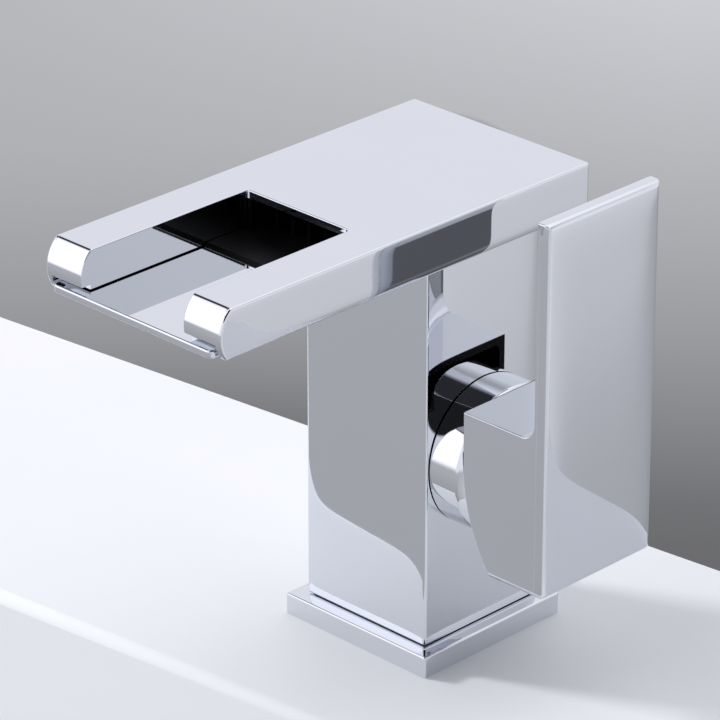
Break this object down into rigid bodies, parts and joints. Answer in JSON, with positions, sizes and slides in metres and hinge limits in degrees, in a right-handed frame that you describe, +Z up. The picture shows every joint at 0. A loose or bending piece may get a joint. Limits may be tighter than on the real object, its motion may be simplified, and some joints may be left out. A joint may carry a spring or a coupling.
{
  "type": "basin mixer tap",
  "caption": "Waterfall basin mixer: square column on a square base, flat forked spout with an open channel, ceramic cartridge and a side lever on a domed collar.",
  "frame": {"origin": "centre of the square base plate's underside, on the top surface of the deck", "axes": "+Z up, -Y forwards to the spout's mouth, +X to the user's right, where the lever is; the cartridge axis runs along X"},
  "size_m": [0.0962, 0.1355, 0.2027],
  "materials": {
    "chrome": "polished chrome plate on brass",
    "brass": "machined brass",
    "steel": "zinc-plated or stainless steel",
    "rubber": "matt black rubber",
    "black_plastic": "satin black moulded plastic",
    "cartridge_plastic": "moulded acetal",
    "ceramic": "lapped alumina ceramic",
    "cap_plastic": "grey plastic plug"
  },
  "bodies": {
    "faucet": {"base_plate": "chrome", "base_gasket": "rubber", "base_seal": "rubber", "mounting_stud": "steel", "body_column": "chrome", "spout_shell": "chrome", "spout_floor": "chrome", "spout_orings": "rubber", "spout_screw": "steel", "flow_guide": "black_plastic", "cartridge_base": "cartridge_plastic", "port_seals": "rubber", "cartridge_housing": "cartridge_plastic", "fixed_disc": "ceramic", "cartridge_nut": "brass", "bonnet_oring": "rubber", "bonnet": "chrome"},
    "turning_guide": {"stem_guide": "cartridge_plastic", "stem_pin": "steel"},
    "lever": {"lever_stem": "steel", "lever_handle": "chrome", "lever_screw": "steel", "screw_cap": "cap_plastic"},
    "control_disc": {"disc_carrier": "cartridge_plastic", "moving_disc": "ceramic"},
    "clamp": {"deck_pad": "rubber", "deck_washer": "steel"},
    "clamp_nut": {"stud_nut": "brass"}
  },
  "joints": [
    {"name": "temperature_turn", "type": "hinge", "parent": "faucet", "child": "turning_guide", "pos_m": [0, 0, 0.0589], "axis": [1, 0, 0], "range_deg": [-50, 50]},
    {"name": "lever_lift", "type": "hinge", "parent": "turning_guide", "child": "lever", "pos_m": [0.014, 0, 0.0589], "axis": [0, 1, 0], "range_deg": [0, 20]},
    {"name": "disc_slide", "type": "slide", "parent": "turning_guide", "child": "control_disc", "axis": [0, 0, 1], "range_m": [0, 0.00404]},
    {"name": "clamp_travel", "type": "slide", "parent": "faucet", "child": "clamp", "axis": [0, 0, 1], "range_m": [-0.01875, 0.015]},
    {"name": "nut_turn", "type": "hinge", "parent": "clamp", "child": "clamp_nut", "pos_m": [0.011, 0, -0.029], "axis": [0, 0, 1], "range_deg": [-5410, 4330]}
  ],
  "couplings": [
    {"joint": "disc_slide", "follows": "lever_lift", "m_per_rad": 0.01155},
    {"joint": "nut_turn", "follows": "clamp_travel", "rad_per_m": 5026.5}
  ]
}
